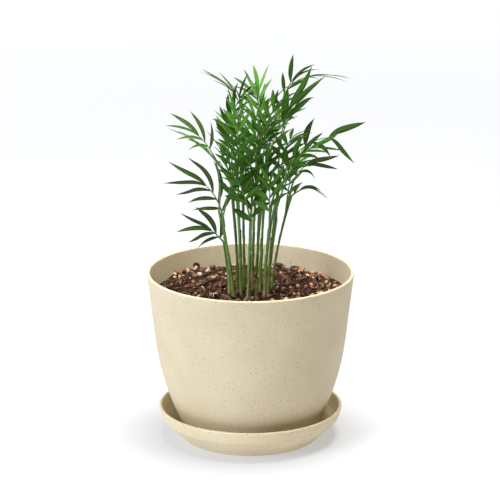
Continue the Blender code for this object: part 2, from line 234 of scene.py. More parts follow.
# %% Finishes
class Finish:
    """A material, with short calls for the nodes that this plant's finishes are made of."""

    def __init__(self, name, roughness, specular=0.5):
        self.material = bpy.data.materials.new(name)
        self.material.use_nodes = True
        self.tree = self.material.node_tree
        self.shader = self.tree.nodes["Principled BSDF"]
        self.shader.inputs["Roughness"].default_value = roughness
        self.shader.inputs["Specular IOR Level"].default_value = specular
        self.place = self.node("ShaderNodeTexCoord").outputs["Object"]
        split = self.node("ShaderNodeSeparateXYZ", {"Vector": self.place})
        self.height = split.outputs["Z"]

    def node(self, kind, inputs=None, **settings):
        made = self.tree.nodes.new(kind)
        for key, value in settings.items():
            setattr(made, key, value)
        for key, value in (inputs or {}).items():
            self.feed(made.inputs[key], value)
        return made

    def feed(self, socket, value):
        if isinstance(value, bpy.types.NodeSocket):
            self.tree.links.new(value, socket)
        else:
            socket.default_value = value

    def marks(self):
        """The tint, along and across marks of a batch."""
        read = self.node("ShaderNodeAttribute", attribute_name="marks")
        return self.node("ShaderNodeSeparateXYZ", {"Vector": read.outputs["Vector"]}).outputs

    def stretched(self, scale):
        return self.node("ShaderNodeMapping", {"Vector": self.place, "Scale": scale}).outputs[0]

    def noise(self, scale, detail=3.0, stretch=None):
        """Noise from 0 to 1, with `scale` features to the metre."""
        place = self.stretched(stretch) if stretch else self.place
        inputs = {"Vector": place, "Scale": scale, "Detail": detail}
        return self.node("ShaderNodeTexNoise", inputs).outputs["Fac"]

    def maths(self, operation, first, second=0.0):
        made = self.node("ShaderNodeMath", {0: first, 1: second}, operation=operation)
        return made.outputs[0]

    def vector_maths(self, operation, first, second):
        made = self.node("ShaderNodeVectorMath", {0: first, 1: second}, operation=operation)
        return made.outputs[0]

    def span(self, value, low, high, to_low=0.0, to_high=1.0):
        """A value carried from one span to another, held at both ends."""
        made = self.node("ShaderNodeMapRange", {0: value, 1: low, 2: high, 3: to_low, 4: to_high})
        return made.outputs[0]

    def ramp(self, value, stops):
        """Colours at places from 0 to 1."""
        made = self.node("ShaderNodeValToRGB", {"Fac": value})
        elements = made.color_ramp.elements
        while len(elements) < len(stops):
            elements.new(1.0)
        for element, (position, colour) in zip(elements, stops):
            element.position = position
            element.color = (*colour, 1.0)
        return made.outputs["Color"]

    def mix(self, share, first, second, blend="MIX"):
        made = self.node("ShaderNodeMix", data_type="RGBA", blend_type=blend)
        self.feed(made.inputs[0], share)
        for socket, value in ((made.inputs[6], first), (made.inputs[7], second)):
            self.feed(socket, (*value, 1.0) if isinstance(value, tuple) else value)
        return made.outputs[2]

    def flecks(self, scale, reach, share, shift=0.0):
        """Small irregular specks: 1 inside a speck, 0 outside, in a share of the cells."""
        bend = self.node("ShaderNodeTexNoise", {"Vector": self.place, "Scale": 3 * scale})
        wander = self.vector_maths("MULTIPLY", bend.outputs["Color"], (0.35 / scale,) * 3)
        moved = self.vector_maths("ADD", self.place, wander)
        shifted = self.vector_maths("ADD", moved, (shift,) * 3)
        cells = self.node("ShaderNodeTexVoronoi", {"Vector": shifted, "Scale": scale})
        inside = self.span(cells.outputs["Distance"], reach, 0.6 * reach)
        chosen = self.node("ShaderNodeSeparateColor", {"Color": cells.outputs["Color"]}).outputs[0]
        return self.maths("MULTIPLY", inside, self.maths("LESS_THAN", chosen, share))

    def bump(self, height, distance, strength=1.0, under=None):
        """A bump whose full height is `distance` metres, on top of another."""
        inputs = {"Height": height, "Distance": distance, "Strength": strength}
        if under is not None:
            inputs["Normal"] = under
        return self.node("ShaderNodeBump", inputs).outputs["Normal"]

    def done(self, colour, roughness=None, normal=None):
        self.feed(self.shader.inputs["Base Color"], colour)
        if roughness is not None:
            self.feed(self.shader.inputs["Roughness"], roughness)
        if normal is not None:
            self.feed(self.shader.inputs["Normal"], normal)
        return self.material


print("finish helpers ready")

# %% [markdown]
# ## The fibre
#
# The pot and the saucer are moulded from ground plant fibre in a pale binder. Close up, the
# cream body is full of faint tan and grey specks, some lie as short threads, and the mould
# leaves the surface a little uneven. An image of specks would stretch over the round form, so
# the specks are worked out in space instead: round cells scattered through the solid, each cut
# by the surface where it happens to lie. That gives specks of many sizes with no seam.

# %% Fibre finish
# Each kind of speck: how many cells to the metre, how far a speck reaches in its cell, the share
# of cells that hold one, a shift that sets the kind apart, its strength and its colour.
SPECKS = [
    (250.0, 0.20, 0.55, 0.0, 0.70, (0.42, 0.26, 0.12)),
    (360.0, 0.17, 0.55, 3.1, 0.50, (0.20, 0.17, 0.13)),
    (620.0, 0.26, 0.50, 1.3, 0.30, (0.34, 0.25, 0.15)),
    (280.0, 0.20, 0.50, 7.7, 0.18, (0.93, 0.90, 0.80)),
]


def fibre_finish(name, pale, deep, threads):
    finish = Finish(name, 0.5, 0.3)
    clouds = finish.noise(26.0, 4.0)
    colour = finish.mix(finish.span(clouds, 0.35, 0.7), pale, deep)
    grain = finish.noise(950.0, 2.0)
    colour = finish.mix(finish.span(grain, 0.5, 0.75, 0.0, 0.22), colour, (0.62, 0.52, 0.34))
    strands = finish.noise(180.0, 3.0, stretch=threads)
    colour = finish.mix(finish.span(strands, 0.58, 0.72, 0.0, 0.28), colour, (0.60, 0.48, 0.30))
    for scale, reach, share, shift, strength, speck_colour in SPECKS:
        speck = finish.flecks(scale, reach, share, shift)
        colour = finish.mix(finish.maths("MULTIPLY", speck, strength), colour, speck_colour)
    fine = finish.bump(grain, 0.06 * MM, 0.5)
    uneven = finish.bump(finish.noise(70.0, 3.0), 0.5 * MM, 0.35, fine)
    roughness = finish.span(clouds, 0.3, 0.7, 0.42, 0.58)
    return finish.done(colour, roughness, uneven)


pot_fibre = fibre_finish("pot_fibre", (0.70, 0.60, 0.41), (0.655, 0.555, 0.365), (1.0, 1.0, 2.2))
saucer_fibre = fibre_finish("saucer_fibre", (0.82, 0.70, 0.475), (0.77, 0.65, 0.43), (0.25, 0.25, 5.0))
print("fibre finishes ready")

# %% [markdown]
# ## The saucer and the pot
#
# Both are bodies of revolution, so each is a profile turned about Z. A Screw modifier would do
# it, but working the rings out directly lets the wall wander by a tenth of a millimetre, as a
# moulded fibre wall does. The profile runs up the inside, over a round lip and down the outside.
#
# The saucer is a flared bowl with a slightly tapered band above a small step. The pot tapers straight
# down from its rim and tucks in below a knee.

# %% Turned shapes
TURN_SIDES = 192
WANDER = 0.12 * MM
WANDER_TURN = 2.2
WANDER_PITCH = 30 * MM
TURNS = np.linspace(0.0, 2 * math.pi, TURN_SIDES, endpoint=False)


def turned_rings(profile, wander=WANDER):
    """Rings round Z for a list of (radius, height) points."""
    rings = np.zeros((len(profile), TURN_SIDES, 3))
    for level, (radius, z) in enumerate(profile):
        for side, turn in enumerate(TURNS):
            x, y = math.cos(turn), math.sin(turn)
            drift = wander * noise.noise(Vector((WANDER_TURN * x, WANDER_TURN * y, z / WANDER_PITCH)))
            rings[level, side] = ((radius + drift) * x, (radius + drift) * y, z)
    return rings


def arc(centre_r, centre_z, radius, start, end, count):
    """Points on a circle in the (radius, height) plane, between two angles in degrees."""
    angles = np.radians(np.linspace(start, end, count))
    return [(centre_r + radius * math.cos(a), centre_z + radius * math.sin(a)) for a in angles]


def eased(points, count):
    """A smooth line through (radius, height) points, by Catmull-Rom spans."""
    knots = np.array([points[0], *points, points[-1]])
    line = []
    for step in np.linspace(0.0, len(points) - 1.000001, count):
        first = int(step)
        t = step - first
        a, b, c, d = knots[first : first + 4]
        bend = (2 * a - 5 * b + 4 * c - d) * t**2 + (3 * b - a - 3 * c + d) * t**3
        line.append(tuple(b + 0.5 * ((c - a) * t + bend)))
    return line


print("sides to a turn:", TURN_SIDES)

# %% The saucer
SAUCER_WALL = 3.2 * MM
SAUCER_FLOOR = 3.5 * MM
STEP_Z = 18 * MM
BASE_RADIUS = 65 * MM
BOWL_FOOT_RADIUS = BASE_RADIUS + 2.5 * MM
BOWL_FOOT_Z = 1.4 * MM
BOWL_TOP_Z = STEP_Z - 0.2 * MM
BAND_OVERHANG = 5.5 * MM
BAND_EDGE = 0.8 * MM
FLARE_POWER = 0.95
_, saucer_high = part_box("saucer")
rim_radius = saucer_high.x
lip = SAUCER_WALL / 2
lip_z = saucer_high.z - lip
bowl_inside = eased(
    [
        (BASE_RADIUS - 9 * MM, SAUCER_FLOOR),
        (BASE_RADIUS - 3 * MM, SAUCER_FLOOR + 0.5 * MM),
        (BASE_RADIUS + 4.5 * MM, 7.6 * MM),
        (rim_radius - 12.9 * MM, 14 * MM),
        (rim_radius - 7.3 * MM, 20 * MM),
        (rim_radius - SAUCER_WALL, lip_z),
    ],
    count=40,
)
rim = arc(rim_radius - lip, lip_z, lip, 180, 0, count=12)
band = eased(
    [
        (rim_radius, lip_z),
        (rim_radius - 0.8 * MM, lip_z - 3 * MM),
        (rim_radius - 2.9 * MM, STEP_Z + 2.6 * MM),
        (rim_radius - 3.7 * MM, STEP_Z + 1.1 * MM),
    ],
    count=14,
)
band_edge = arc(rim_radius - 4.5 * MM, STEP_Z + 0.9 * MM, BAND_EDGE, 0, -90, count=6)
bowl_flare = rim_radius - BAND_OVERHANG - BOWL_FOOT_RADIUS
bowl_outside = [
    (BOWL_FOOT_RADIUS + bowl_flare * ((z - BOWL_FOOT_Z) / (BOWL_TOP_Z - BOWL_FOOT_Z)) ** FLARE_POWER, z)
    for z in np.linspace(BOWL_TOP_Z, BOWL_FOOT_Z, 22)
]
base_points = [bowl_outside[-1], (BASE_RADIUS + 1.2 * MM, 0.35 * MM), (BASE_RADIUS - 1 * MM, 0.0)]
base_edge = eased(base_points, count=7)[1:]
saucer_profile = [*bowl_inside[:-1], *rim, *band[1:], *band_edge, *bowl_outside, *base_edge]
saucer = Batch()
saucer.add(*tube(turned_rings(saucer_profile)))
saucer.piece("fibre_saucer", [saucer_fibre], ["saucer"], sharp=50.0)
print("saucer profile points:", len(saucer_profile))

# %% The pot
POT_WALL = 3 * MM
POT_FLOOR = 3.5 * MM
POT_TAPER = 0.115
POT_KNEE_Z = 105 * MM
POT_TUCK = 19.7 * MM
POT_TUCK_POWER = 2.2
FOOT_ROUNDING = 2 * MM
INSIDE_LEVELS = 40
OUTSIDE_LEVELS = 70
pot_low, pot_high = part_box("pot")


def pot_radius(z):
    """Outer radius of the pot's side at a height."""
    below_knee = max(0.0, POT_KNEE_Z - z) / (POT_KNEE_Z - pot_low.z)
    return pot_high.x - POT_TAPER * (pot_high.z - z) - POT_TUCK * below_knee**POT_TUCK_POWER


def pot_bore(z):
    """Inner radius of the pot's side at a height."""
    return pot_radius(z) - POT_WALL


pot_floor_z = pot_low.z + POT_FLOOR
pot_lip = POT_WALL / 2
pot_lip_z = pot_high.z - pot_lip
foot_z = pot_low.z + FOOT_ROUNDING
inside = [(pot_bore(z), z) for z in np.linspace(pot_floor_z, pot_lip_z, INSIDE_LEVELS)]
pot_rim = arc(pot_radius(pot_lip_z) - pot_lip, pot_lip_z, pot_lip, 180, 0, count=12)
outside = [(pot_radius(z), z) for z in np.linspace(pot_lip_z, foot_z, OUTSIDE_LEVELS)[1:]]
foot = arc(pot_radius(foot_z) - FOOT_ROUNDING, foot_z, FOOT_ROUNDING, 0, -90, count=6)[1:]
pot_profile = [*inside[:-1], *pot_rim, *outside, *foot]
pot = Batch()
pot.add(*tube(turned_rings(pot_profile)))
pot_piece = pot.piece("fibre_pot", [pot_fibre], ["pot"], sharp=50.0)
print("pot profile points:", len(pot_profile))

# %% [markdown]
# ## Drain holes
#
# Five holes in the pot's floor let water out into the saucer. They are bored through with a
# Boolean, because a turned profile can't hold a hole that is off its axis. The soil hides them
# from above and the saucer from below.

# %% Bore the drain holes
DRAIN_RADIUS = 4 * MM
DRAIN_CIRCLE = 34 * MM
DRAIN_COUNT = 5
BORE_SIDES = 24
bores = Batch()
bore_turns = np.linspace(0.0, 2 * math.pi, BORE_SIDES, endpoint=False)
for hole in range(DRAIN_COUNT):
    heading = 2 * math.pi * hole / DRAIN_COUNT
    rings = np.zeros((2, BORE_SIDES, 3))
    rings[:, :, 0] = DRAIN_CIRCLE * math.cos(heading) + DRAIN_RADIUS * np.cos(bore_turns)
    rings[:, :, 1] = DRAIN_CIRCLE * math.sin(heading) + DRAIN_RADIUS * np.sin(bore_turns)
    rings[:, :, 2] = np.array([pot_low.z - POT_FLOOR, pot_floor_z + POT_FLOOR])[:, None]
    bores.add(*tube(rings))
bore_mesh = bpy.data.meshes.new("drain_bores")
bore_mesh.from_pydata(np.concatenate(bores.points).tolist(), [], bores.faces)
bore = bpy.data.objects.new("drain_bores", bore_mesh)
bpy.context.scene.collection.objects.link(bore)
drill = pot_piece.modifiers.new("drain", "BOOLEAN")
drill.operation = "DIFFERENCE"
drill.solver = "EXACT"
drill.object = bore
bpy.context.view_layer.update()
drilled = pot_piece.evaluated_get(bpy.context.evaluated_depsgraph_get())
bored = bpy.data.meshes.new_from_object(drilled)
pot_piece.modifiers.remove(drill)
pot_piece.data = bored
bpy.data.objects.remove(bore)
print("pot faces:", len(bored.polygons))

# %% [markdown]
# ## The soil
#
# The bed is a coarse mix: near black to orange-brown bark, crumbs of peat, short fibres and pale
# grains of pumice. A bumpy disc alone would look like cloth, so the disc only fills the gaps. What the eye
# sees is hundreds of separate chips, each an angular lump of its own size, tilt and tint, half
# sunk into the bed, and left out where a stem stands.

# %% Peat finish
def peat_finish():
    finish = Finish("peat_bed", 0.95, 0.2)
    clods = finish.noise(420.0, 5.0)
    colour = finish.ramp(
        clods,
        [
            (0.3, (0.008, 0.004, 0.002)),
            (0.55, (0.032, 0.015, 0.008)),
            (0.8, (0.10, 0.05, 0.028)),
        ],
    )
    rough = finish.bump(finish.noise(900.0, 4.0), 0.8 * MM, 0.9)
    return finish.done(colour, None, rough)


peat_bed = peat_finish()
print("finish:", peat_bed.name)

# %% Bark finish
def bark_finish():
    finish = Finish("bark_chip", 0.85, 0.3)
    tint = finish.marks()["X"]
    body = finish.ramp(
        tint,
        [
            (0.0, (0.030, 0.012, 0.007)),
            (0.4, (0.120, 0.044, 0.018)),
            (0.7, (0.26, 0.110, 0.045)),
            (1.0, (0.48, 0.29, 0.16)),
        ],
    )
    grain = finish.noise(700.0, 4.0, stretch=(1.0, 1.0, 3.0))
    colour = finish.mix(finish.span(grain, 0.35, 0.65, 0.0, 0.55), body, (0.02, 0.010, 0.007))
    dust = finish.noise(1500.0, 2.0)
    colour = finish.mix(finish.span(dust, 0.6, 0.75, 0.0, 0.35), colour, (0.44, 0.28, 0.16))
    rough = finish.bump(grain, 0.5 * MM, 0.8)
    return finish.done(colour, None, rough)


bark_chip = bark_finish()
print("finish:", bark_chip.name)

# %% Pumice finish
def pumice_finish():
    finish = Finish("pumice_grain", 0.8, 0.3)
    tint = finish.marks()["X"]
    body = finish.ramp(
        tint,
        [
            (0.0, (0.42, 0.26, 0.14)),
            (0.6, (0.66, 0.47, 0.29)),
            (1.0, (0.84, 0.71, 0.55)),
        ],
    )
    stain = finish.noise(500.0, 3.0)
    colour = finish.mix(finish.span(stain, 0.45, 0.7, 0.0, 0.6), body, (0.22, 0.11, 0.07))
    pores = finish.flecks(1400.0, 0.4, 0.7)
    colour = finish.mix(finish.maths("MULTIPLY", pores, 0.5), colour, (0.12, 0.07, 0.05))
    rough = finish.bump(finish.noise(1300.0, 3.0), 0.4 * MM, 0.7)
    return finish.done(colour, None, rough)


pumice_grain = pumice_finish()
print("finish:", pumice_grain.name)

# %% [markdown]
# ## Where the stems stand
#
# The stems and the soil share one layout: twelve feet in a tight clump, each stem leaning
# Outwards to its own top. The places could be drawn at random, but the outline of the crown
# depends on them, so they are a given list. Writing it once keeps the chips clear of the
# stems.

# %% Stem layout
SOIL_EDGE_Z = 143 * MM
SOIL_CENTRE_Z = 147 * MM
STEM_THINNING = 0.5  # a stem's radius at its top, as a share of its foot's
STEM_LEAN_POWER = 1.4
# In millimetres; the radius is the one at the foot.
Stem = namedtuple("Stem", "foot_x foot_y top_x top_y top_z radius")
STEMS = [
    Stem(-20, -12, -26, -14, 222, 1.5),
    Stem(-16, -22, -30, -26, 232, 1.9),
    Stem(-12, -4, -17, 2, 250, 1.5),
    Stem(-9, -17, -12, -20, 262, 1.9),
    Stem(-6, 3, -8, 12, 270, 1.5),
    Stem(-2, -24, 1, -30, 240, 1.9),
    Stem(1, -10, 7, -10, 285, 1.8),
    Stem(5, -19, 11, -22, 262, 1.6),
    Stem(9, -8, 16, -4, 280, 1.8),
    Stem(13, -22, 20, -28, 240, 1.8),
    Stem(17, -13, 27, -15, 262, 1.8),
    Stem(20, -4, 38, -4, 244, 1.2),
]
stem_feet = np.array([(stem.foot_x, stem.foot_y) for stem in STEMS]) * MM


def stem_share(stem, z):
    """How far up the stem a height is, from 0 at the soil to 1 at its top."""
    return max(0.0, z - SOIL_EDGE_Z) / (stem.top_z * MM - SOIL_EDGE_Z)


def stem_point(stem, z):
    """The stem's axis at a height: upright in the soil, then leaning towards its top."""
    lean = stem_share(stem, z) ** STEM_LEAN_POWER
    x = stem.foot_x + (stem.top_x - stem.foot_x) * lean
    y = stem.foot_y + (stem.top_y - stem.foot_y) * lean
    return Vector((x * MM, y * MM, z))


def stem_radius(stem, z):
    return stem.radius * MM * (1 - (1 - STEM_THINNING) * math.sqrt(stem_share(stem, z)))


print("stems:", len(STEMS))

# %% The bed
BED_RINGS = 100
BED_CENTRE = 0.6 * MM
BED_EDGE_DROP = 4 * MM
SIDE_RINGS = 16
SOIL_GAP = 0.3 * MM
BED_SINK = 0.8 * MM
HEAP_X = -50 * MM
HEAP_Y = 52 * MM
HEAP_RISE = 4.5 * MM
HEAP_SPREAD = 24 * MM
CLOD_PITCH = 10 * MM
CLOD_RISE = 2.6 * MM
CRUMB_PITCH = 3.0 * MM
CRUMB_RISE = 1.2 * MM
CRUMB_LEVEL = 0.02
soil_edge = pot_bore(SOIL_EDGE_Z) - SOIL_GAP


def soil_height(x, y):
    """The bed's surface: a low mound with a heap at the back left, with clods and pits."""
    share = math.hypot(x, y) / soil_edge
    mound = SOIL_EDGE_Z + (SOIL_CENTRE_Z - SOIL_EDGE_Z) * (1 - share**2)
    heap = HEAP_RISE * math.exp(-((x - HEAP_X) ** 2 + (y - HEAP_Y) ** 2) / HEAP_SPREAD**2)
    clods = noise.noise(Vector((x, y, 0.0)) / CLOD_PITCH) * CLOD_RISE
    crumbs = noise.noise(Vector((x, y, CRUMB_LEVEL)) / CRUMB_PITCH) * CRUMB_RISE
    return mound + heap + clods + crumbs - BED_SINK


bed_profile = [(radius, 0.0) for radius in np.linspace(BED_CENTRE, soil_edge, BED_RINGS)]
bed_rings = turned_rings(bed_profile, 0.0)
for ring in bed_rings:
    for point in ring:
        point[2] = soil_height(point[0], point[1])
side_heights = np.linspace(SOIL_EDGE_Z - BED_EDGE_DROP, pot_floor_z + SOIL_GAP, SIDE_RINGS)
side_rings = turned_rings([(pot_bore(z) - SOIL_GAP, z) for z in side_heights], 0.0)
bed = Batch()
bed.add(*tube(np.concatenate([bed_rings, side_rings])))
bed.piece("peat_bed", [peat_bed], ["soil"])
print("bed radius in mm:", round(soil_edge / MM, 1))

# %% Lumps
def lump(chance, size, roughness, levels):
    """An angular or rounded lump: a ball of points pushed in and out, with its three half sizes."""
    rows, columns = levels
    tilt = np.linspace(0.0, math.pi, rows + 2)[1:-1]
    turn = np.linspace(0.0, 2 * math.pi, columns, endpoint=False)
    rings = np.zeros((rows, columns, 3))
    rings[:, :, 0] = np.sin(tilt)[:, None] * np.cos(turn)
    rings[:, :, 1] = np.sin(tilt)[:, None] * np.sin(turn)
    rings[:, :, 2] = np.cos(tilt)[:, None]
    push = 1.0 + roughness * chance.uniform(-1.0, 1.0, (rows, columns, 1))
    points, faces = tube(rings * push)
    return points * np.array(size), faces


def turned_any_way(chance, points, lean):
    """Points turned about Z by any angle, after a tilt of up to `lean` radians."""
    tilt_x = Matrix.Rotation(chance.uniform(-lean, lean), 3, "X")
    tilt_y = Matrix.Rotation(chance.uniform(-lean, lean), 3, "Y")
    turn = Matrix.Rotation(chance.uniform(0.0, 2 * math.pi), 3, "Z") @ tilt_x @ tilt_y
    return points @ np.array(turn).T


print("lump helpers ready")

# %% Scatter the chips and grains
CHIP_SEED = 41
STEM_CLEARANCE = 2 * MM


def soil_spot(chance, margin):
    """A place on the bed, clear of the pot's wall and of the stems."""
    while True:
        radius = (soil_edge - margin) * math.sqrt(chance.uniform())
        angle = chance.uniform(0.0, 2 * math.pi)
        spot = np.array([radius * math.cos(angle), radius * math.sin(angle)])
        if np.hypot(*(stem_feet - spot).T).min() > STEM_CLEARANCE + 0.4 * margin:
            return spot


def scatter(batch, chance, count, sizes, breadths, flatness, roughness, levels, lean, sink, tints):
    """Lumps laid on the bed. A lump's half length lies between the two sizes."""
    for _ in range(count):
        half = chance.uniform(*sizes)
        size = (half, half * chance.uniform(*breadths), half * chance.uniform(*flatness))
        points, faces = lump(chance, size, roughness, levels)
        points = turned_any_way(chance, points, lean)
        x, y = soil_spot(chance, 1.1 * half)
        z = soil_height(x, y) + half * chance.uniform(*sink)
        batch.add(points + np.array([x, y, z]), faces, tint=chance.uniform(*tints))


chance = np.random.default_rng(CHIP_SEED)
chips = Batch()
scatter(
    chips, chance, 460, sizes=(2.4 * MM, 5.2 * MM), breadths=(0.3, 0.6), flatness=(0.22, 0.42),
    roughness=0.3, levels=(4, 6), lean=0.6, sink=(0.1, 0.45), tints=(0.0, 0.9),
)
scatter(
    chips, chance, 900, sizes=(0.9 * MM, 2.4 * MM), breadths=(0.35, 0.8), flatness=(0.4, 0.7),
    roughness=0.3, levels=(3, 5), lean=1.2, sink=(0.1, 0.7), tints=(0.1, 1.0),
)
chips.piece("bark_chips", [bark_chip], sharp=22.0)
grains = Batch()
scatter(
    grains, chance, 120, sizes=(1.6 * MM, 2.9 * MM), breadths=(0.6, 0.9), flatness=(0.55, 0.9),
    roughness=0.2, levels=(6, 8), lean=1.2, sink=(0.2, 0.7), tints=(0.0, 1.0),
)
scatter(
    grains, chance, 150, sizes=(0.5 * MM, 1.2 * MM), breadths=(0.5, 0.9), flatness=(0.6, 0.9),
    roughness=0.2, levels=(4, 6), lean=1.2, sink=(0.5, 1.0), tints=(0.2, 1.0),
)
grains.piece("pumice_grains", [pumice_grain], sharp=35.0)
print("chip faces:", len(chips.faces), "grain faces:", len(grains.faces))

# %% [markdown]
# ## Fibres and a curled chip
#
# Thin threads of coir and splinters lie between the chips, and one curled strip of bark stands
# near the back wall. Particle hair could make the threads, but a hair isn't a closed solid, so
# each one is a thin tube along a bent line, and the strip is a wider tube pressed flat.

# %% A tube along a path
def rod(path, radii, sides=8, flat=1.0, roll=0.0):
    """A tube along a path of points, with a radius at each, flattened by `flat` along one axis."""
    path = np.asarray(path, float)
    directions = np.gradient(path, axis=0)
    directions /= np.linalg.norm(directions, axis=1)[:, None]
    reference = np.array([0.0, 0.0, 1.0])
    if abs(directions[:, 2]).mean() > 0.8:
        reference = np.array([1.0, 0.0, 0.0])
    first = np.cross(directions, reference)
    first /= np.linalg.norm(first, axis=1)[:, None]
    second = np.cross(directions, first)
    angles = np.linspace(0.0, 2 * math.pi, sides, endpoint=False)
    radii = np.broadcast_to(radii, (len(path),))[:, None, None]
    wide = first * math.cos(roll) + second * math.sin(roll)
    thin = second * math.cos(roll) - first * math.sin(roll)
    ring = wide[:, None] * np.cos(angles)[:, None] + flat * thin[:, None] * np.sin(angles)[:, None]
    return path[:, None] + ring * radii


print("rod helper ready")

# %% Fibres and the curled chip
FIBRE_COUNT = 170
FIBRE_STEPS = np.linspace(-0.5, 0.5, 6)
FIBRE_MARGIN = 4 * MM
FIBRE_LENGTHS = (3 * MM, 9 * MM)
FIBRE_RADII = (0.12 * MM, 0.32 * MM)
FIBRE_LIFTS = (0.9 * MM, 1.9 * MM)
FIBRE_BEND = 0.35
FIBRE_SLOPE = 0.35
CURL_FOOT = np.array([-53 * MM, 55 * MM, 152 * MM])
CURL_RADIUS = 2.6 * MM
CURL_HALF_WIDTH = 1.6 * MM
CURL_POINTS = 16
fibres = Batch()
for _ in range(FIBRE_COUNT):
    x, y = soil_spot(chance, FIBRE_MARGIN)
    length = chance.uniform(*FIBRE_LENGTHS)
    heading = chance.uniform(0.0, 2 * math.pi)
    bend = chance.uniform(-FIBRE_BEND, FIBRE_BEND) * length * (FIBRE_STEPS**2 - 0.1)
    xs = x + length * FIBRE_STEPS * math.cos(heading) - bend * math.sin(heading)
    ys = y + length * FIBRE_STEPS * math.sin(heading) + bend * math.cos(heading)
    inside_pot = np.hypot(xs, ys) < soil_edge - 1 * MM
    if not inside_pot.all():
        continue
    rest_z = soil_height(x, y) + chance.uniform(*FIBRE_LIFTS)
    zs = rest_z + length * FIBRE_STEPS * chance.uniform(-FIBRE_SLOPE, FIBRE_SLOPE)
    radii = chance.uniform(*FIBRE_RADII) * (1.0 - 1.2 * np.abs(FIBRE_STEPS))
    rings = rod(np.stack([xs, ys, zs], 1), radii, sides=5)
    fibres.add(*tube(rings), tint=chance.uniform(0.3, 1.0))
curl = np.radians(np.linspace(-25, 200, CURL_POINTS))
curl_path = CURL_FOOT + CURL_RADIUS * np.stack([np.cos(curl), 0.2 * curl, 1.35 * np.sin(curl)], 1)
curl_width = CURL_HALF_WIDTH * (1.0 - 0.35 * np.linspace(-1.0, 1.0, CURL_POINTS) ** 2)
fibres.add(*tube(rod(curl_path, curl_width, sides=10, flat=0.32, roll=math.pi / 2)), tint=0.25)
fibres.piece("coir_fibres", [bark_chip])
print("fibre faces:", len(fibres.faces))

# %% [markdown]
# ## Stem and sheath finishes
#
# A young palm's stem is yellow-green at its foot and deep green above, with fine streaks along
# it. Old leaf bases dry to tan paper round it. Streaks could be painted on an unwrapped stem, but
# noise drawn out along Z runs up every stem alike, with nothing to unwrap.

# %% Stem finish
def stem_finish():
    finish = Finish("stem_skin", 0.42, 0.3)
    marks = finish.marks()
    rise = finish.span(finish.height, 0.143, 0.25)
    body = finish.ramp(
        rise,
        [
            (0.0, (0.30, 0.36, 0.08)),
            (0.18, (0.21, 0.37, 0.055)),
            (0.5, (0.09, 0.24, 0.025)),
            (1.0, (0.05, 0.17, 0.018)),
        ],
    )
    streaks = finish.noise(900.0, 3.0, stretch=(1.0, 1.0, 0.06))
    colour = finish.mix(finish.span(streaks, 0.5, 0.7, 0.0, 0.7), body, (0.36, 0.46, 0.14))
    shade = finish.noise(700.0, 3.0, stretch=(1.0, 1.0, 0.1))
    colour = finish.mix(finish.span(shade, 0.46, 0.66, 0.0, 0.85), colour, (0.02, 0.05, 0.006))
    scars = finish.noise(260.0, 3.0)
    colour = finish.mix(finish.span(scars, 0.62, 0.8, 0.0, 0.6), colour, (0.20, 0.12, 0.05))
    colour = finish.mix(finish.span(marks["X"], 0.0, 1.0, 0.35, 0.0), colour, (0.02, 0.07, 0.01))
    ribs = finish.bump(streaks, 0.25 * MM, 0.6)
    return finish.done(colour, None, ribs)


stem_skin = stem_finish()
print("finish:", stem_skin.name)

# %% Sheath finish
def sheath_finish():
    finish = Finish("sheath_paper", 0.7, 0.3)
    marks = finish.marks()
    body = finish.ramp(
        marks["X"],
        [
            (0.0, (0.10, 0.26, 0.03)),
            (0.4, (0.24, 0.38, 0.08)),
            (0.7, (0.48, 0.38, 0.16)),
            (1.0, (0.36, 0.16, 0.06)),
        ],
    )
    veins = finish.noise(1100.0, 3.0, stretch=(1.0, 1.0, 0.05))
    colour = finish.mix(finish.span(veins, 0.45, 0.64, 0.0, 0.8), body, (0.045, 0.07, 0.012))
    dry = finish.span(marks["Y"], 0.75, 1.0, 0.0, 0.5)
    colour = finish.mix(dry, colour, (0.36, 0.28, 0.12))
    ribs = finish.bump(veins, 0.2 * MM, 0.7)
    return finish.done(colour, None, ribs)


sheath_paper = sheath_finish()
print("finish:", sheath_paper.name)

# %% [markdown]
# ## Leaf finishes
#
# A leaflet is a waxy green blade with a pale midrib, long fine veins and a dry tip, and its stalk
# is a paler green. One green for all would look like plastic, so the tint mark gives each leaflet
# its own. The veins, the pale midrib and the dark edge could be modelled, but they are far finer
# than the blade is wide, so they are coloured by the mark across it, and the tip by the mark along.

# %% Leaf finish
def leaf_finish():
    finish = Finish("leaf_blade", 0.52, 0.08)
    marks = finish.marks()
    body = finish.ramp(
        marks["X"],
        [
            (0.0, (0.045, 0.058, 0.020)),
            (0.2, (0.040, 0.085, 0.010)),
            (0.5, (0.045, 0.135, 0.010)),
            (0.8, (0.060, 0.215, 0.014)),
            (1.0, (0.14, 0.32, 0.040)),
        ],
    )
    clouds = finish.noise(110.0, 3.0)
    colour = finish.mix(finish.span(clouds, 0.4, 0.7, 0.0, 0.4), body, (0.032, 0.085, 0.010))
    across = finish.maths("ABSOLUTE", marks["Z"])
    ridges = finish.maths("SINE", finish.maths("MULTIPLY", marks["Z"], 26.0))
    colour = finish.mix(finish.span(ridges, 0.0, 1.0, 0.0, 0.16), colour, (0.10, 0.26, 0.05))
    midrib = finish.span(across, 0.10, 0.03)
    colour = finish.mix(finish.maths("MULTIPLY", midrib, 0.55), colour, (0.16, 0.32, 0.07))
    rim = finish.span(across, 0.8, 1.0, 0.0, 0.5)
    colour = finish.mix(rim, colour, (0.035, 0.06, 0.018))
    tip = finish.span(marks["Y"], 0.9, 1.0, 0.0, 0.85)
    colour = finish.mix(tip, colour, (0.10, 0.085, 0.04))
    veins = finish.bump(ridges, 0.10 * MM, 0.6)
    cells = finish.bump(finish.noise(1800.0, 2.0), 0.04 * MM, 0.5, veins)
    roughness = finish.span(clouds, 0.3, 0.7, 0.40, 0.56)
    return finish.done(colour, roughness, cells)


leaf_blade = leaf_finish()
print("finish:", leaf_blade.name)

